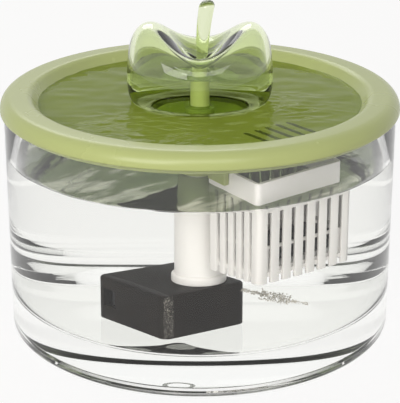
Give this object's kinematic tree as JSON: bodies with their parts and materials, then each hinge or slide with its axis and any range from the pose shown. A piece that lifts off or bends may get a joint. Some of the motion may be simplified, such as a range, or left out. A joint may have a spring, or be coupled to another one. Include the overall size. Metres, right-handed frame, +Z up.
{
  "type": "pet water fountain",
  "caption": "Glass bowl with a lift-off green drinking tray, clear apple spout cover, filter basket and submerged pump.",
  "frame": {"origin": "centre of the bowl's underside, on the surface it stands on", "axes": "+Z up, the bowl's axis; the pump's intake faces -X and the basket lies towards -Y"},
  "size_m": [0.2, 0.2, 0.1697],
  "materials": {
    "glass": "clear polished glass",
    "clear_glass": "clear polished",
    "green_plastic": "soft gloss moulded plastic",
    "white_plastic": "satin moulded plastic",
    "cartridge_plastic": "satin",
    "black_plastic": "fine grained matte",
    "silicone": "translucent matte",
    "black_rubber": "matte",
    "carbon": "granular",
    "filter_fabric": "felted",
    "sponge": "open cell",
    "bush_plastic": "smooth",
    "steel": "bright",
    "magnet": "dark sintered",
    "stator_iron": "varnished laminations"
  },
  "bodies": {
    "bowl": {"glass_bowl": "glass", "pump_casing": "black_plastic", "base_plate": "black_plastic", "suction_cups": "silicone", "intake_sponge": "sponge", "motor_housing": "black_plastic", "nozzle_seal": "silicone", "chamber_cover": "black_plastic", "motor_end_cap": "black_plastic", "front_bush": "bush_plastic", "rear_bush": "bush_plastic", "rotor_shaft": "steel", "stator": "stator_iron", "cover_screws": "steel", "cable_gland": "black_rubber"},
    "tray": {"tray": "green_plastic", "rim_gasket": "silicone", "spout_tube": "green_plastic", "duct_cover": "green_plastic", "riser_pipe": "white_plastic"},
    "apple": {"apple_shell": "clear_glass", "apple_stem": "clear_glass"},
    "basket": {"filter_basket": "white_plastic"},
    "cartridge": {"cartridge_frame": "cartridge_plastic", "carbon_bed": "carbon", "filter_pad": "filter_fabric"},
    "intake_cover": {"intake_cover": "black_plastic"},
    "flow_slider": {"flow_slider": "black_plastic"},
    "rotor": {"impeller": "bush_plastic", "rotor_magnet": "magnet"}
  },
  "joints": [
    {"name": "tray_lift", "type": "slide", "parent": "bowl", "child": "tray", "axis": [0, 0, 1], "range_m": [0, 0.14]},
    {"name": "apple_lift", "type": "slide", "parent": "tray", "child": "apple", "axis": [0, 0, 1], "range_m": [0, 0.06]},
    {"name": "basket_drop", "type": "slide", "parent": "tray", "child": "basket", "axis": [0, 0, -1], "range_m": [0, 0.026]},
    {"name": "cartridge_lift", "type": "slide", "parent": "basket", "child": "cartridge", "axis": [0, 0, 1], "range_m": [0, 0.026]},
    {"name": "intake_cover_slide", "type": "slide", "parent": "bowl", "child": "intake_cover", "axis": [-1, 0, 0], "range_m": [0, 0.014]},
    {"name": "flow_slide", "type": "slide", "parent": "intake_cover", "child": "flow_slider", "axis": [0, 1, 0], "range_m": [0, 0.0064]},
    {"name": "rotor_spin", "type": "hinge", "parent": "bowl", "child": "rotor", "pos_m": [-0.024, -0.03, 0.0334], "axis": [0, 1, 0], "continuous": true}
  ]
}
